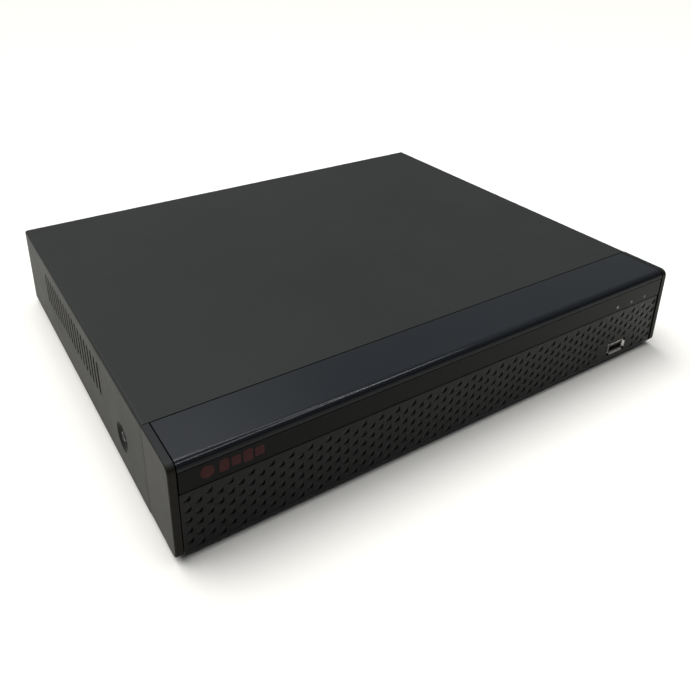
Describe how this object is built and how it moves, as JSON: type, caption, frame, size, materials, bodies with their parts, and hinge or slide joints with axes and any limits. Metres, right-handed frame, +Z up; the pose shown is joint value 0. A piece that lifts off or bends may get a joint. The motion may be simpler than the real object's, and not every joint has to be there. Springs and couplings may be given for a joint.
{
  "type": "digital video recorder",
  "caption": "Low flat desktop recorder for security cameras: folded steel case with side vents, dimpled plastic front with a gloss strip and USB socket, camera sockets at the back.",
  "frame": {"origin": "under the middle of the recorder, on the surface its feet stand on", "axes": "+X to the recorder's right seen from the front, +Y to its back, +Z up"},
  "size_m": [0.3, 0.259, 0.05],
  "materials": {
    "cover_paint": "satin powder coat",
    "pan_paint": "satin powder coat",
    "bezel_plastic": "fine moulded grain",
    "fascia_plastic": "semi-gloss",
    "window_plastic": "smoked high gloss",
    "panel_plastic": "moulded, slightly glossy",
    "light_pipe": "milky",
    "lamp": "milky",
    "plated_steel": "bright nickel plate",
    "zinc_screw": "zinc plate",
    "black_screw": "black zinc",
    "nickel": "nickel plate",
    "gold": "gold flash",
    "black_nylon": "moulded",
    "white_nylon": "moulded",
    "blue_nylon": "moulded",
    "colour_nylon": "moulded, white and red",
    "board_green": "solder mask",
    "chip_black": "moulded",
    "can_aluminium": "sleeved can",
    "sink_aluminium": "black anodised",
    "cast_aluminium": "cast",
    "disk_mirror": "polished",
    "foot_rubber": "matt",
    "cable_red": "jacket",
    "cable_black": "jacket"
  },
  "bodies": {
    "recorder": {"top_cover": "cover_paint", "chassis_pan": "pan_paint", "rear_panel": "pan_paint", "cover_screws": "black_screw", "rubber_feet": "foot_rubber", "bezel_frame": "bezel_plastic", "top_fascia": "fascia_plastic", "indicator_window": "window_plastic", "dimpled_panel": "panel_plastic", "front_board": "board_green", "board_screws": "zinc_screw", "cable_headers": "white_nylon", "led_light_pipes": "light_pipe", "status_leds": "lamp", "front_usb_shell": "plated_steel", "rear_usb_shell": "plated_steel", "usb_insulators": "black_nylon", "port_contacts": "gold", "main_board": "board_green", "board_standoffs": "nickel", "soc_chip": "chip_black", "soc_heatsink": "sink_aluminium", "board_chips": "chip_black", "board_capacitors": "can_aluminium", "coin_cell_holder": "black_nylon", "coin_cell": "plated_steel", "buzzer": "black_nylon", "sata_sockets": "black_nylon", "connector_housings": "black_nylon", "bnc_barrels": "nickel", "bnc_insulators": "white_nylon", "bnc_contacts": "gold", "rca_barrels": "nickel", "rca_insulators": "colour_nylon", "vga_shell": "plated_steel", "vga_insulator": "blue_nylon", "vga_jack_posts": "nickel", "hdmi_shell": "plated_steel", "hdmi_tongue": "black_nylon", "rj45_housing": "plated_steel", "rj45_lamps": "lamp", "dc_jack_housing": "black_nylon", "dc_jack_pin": "nickel", "ground_screw": "nickel", "switch_housing": "black_nylon", "switch_terminals": "nickel", "fan_frame": "black_nylon", "fan_screws": "black_screw", "hdd_base": "cast_aluminium", "hdd_cover": "cast_aluminium", "hdd_board": "board_green", "hdd_connector": "black_nylon", "hdd_screws": "zinc_screw", "sata_cables": "cable_red", "sata_plugs": "black_nylon", "board_leads": "cable_black"},
    "rocker": {"switch_rocker": "black_nylon"},
    "fan_rotor": {"fan_rotor": "black_nylon"},
    "platters": {"hdd_platters": "disk_mirror"},
    "head_arm": {"hdd_arm": "cast_aluminium"}
  },
  "joints": [
    {"name": "power_rocker_tilt", "type": "hinge", "parent": "recorder", "child": "rocker", "pos_m": [0.13, 0.1153, 0.025], "axis": [1, 0, 0], "range_deg": [-20, 0]},
    {"name": "fan_spin", "type": "hinge", "parent": "recorder", "child": "fan_rotor", "pos_m": [-0.1245, 0.1107, 0.0247], "axis": [0, 1, 0], "continuous": true},
    {"name": "platter_spin", "type": "hinge", "parent": "recorder", "child": "platters", "pos_m": [-0.074, -0.0457, 0.02], "axis": [0, 0, 1], "continuous": true},
    {"name": "head_arm_swing", "type": "hinge", "parent": "recorder", "child": "head_arm", "pos_m": [-0.016, -0.0205, 0.02], "axis": [0, 0, 1], "range_deg": [0, 28]}
  ]
}
